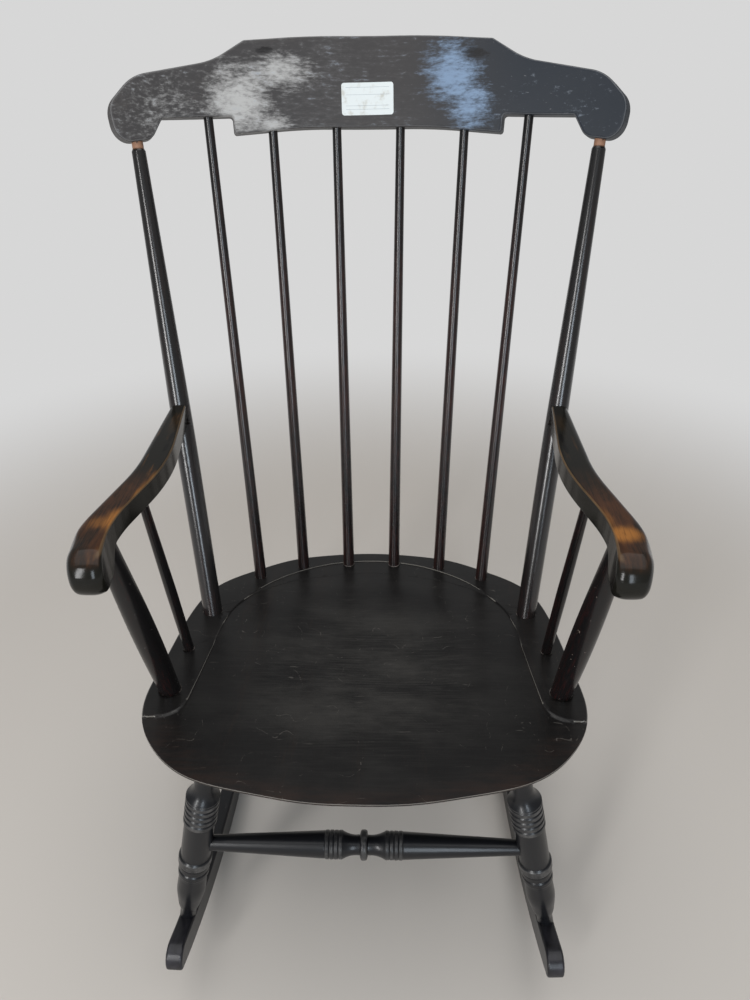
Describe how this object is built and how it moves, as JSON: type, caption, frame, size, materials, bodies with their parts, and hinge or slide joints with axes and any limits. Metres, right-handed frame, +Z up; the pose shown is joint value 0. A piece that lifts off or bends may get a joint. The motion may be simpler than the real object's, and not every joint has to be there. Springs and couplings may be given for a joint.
{
  "type": "spindle back rocking chair",
  "caption": "wooden rocking chair with a bent crest rail, slender back spindles, scrolled arms, a shaped plank seat and reeded front legs on curved rockers",
  "frame": {"origin": "on the floor under the middle of the bounding box", "axes": "+Z is up, -Y is the front that the sitter faces, and +X is to the right as seen from the front"},
  "size_m": [0.5986, 0.696, 1.0217],
  "materials": {
    "seat": "satin black lacquer, worn along its front edge",
    "crest_rail": "dull black lacquer with pale scuffs",
    "sticks": "thin black lacquer with reddish brown wood showing through",
    "arms": "polished black lacquer, worn to brown on top",
    "undercarriage": "satin black lacquer, lightly chipped",
    "rockers": "satin black lacquer"
  },
  "bodies": {
    "root": {"seat": "seat", "crest_rail": "crest_rail", "back_post_left": "sticks", "back_post_right": "sticks", "back_spindle_1": "sticks", "back_spindle_2": "sticks", "back_spindle_3": "sticks", "back_spindle_4": "sticks", "back_spindle_5": "sticks", "back_spindle_6": "sticks", "arm_left": "arms", "arm_right": "arms", "arm_support_left": "sticks", "arm_support_right": "sticks", "arm_spindle_left": "sticks", "arm_spindle_right": "sticks", "front_leg_left": "undercarriage", "front_leg_right": "undercarriage", "rear_leg_left": "undercarriage", "rear_leg_right": "undercarriage", "front_stretcher": "undercarriage", "rear_stretcher": "undercarriage", "side_stretcher_left": "undercarriage", "side_stretcher_right": "undercarriage", "rocker_left": "rockers", "rocker_right": "rockers"}
  },
  "joints": []
}
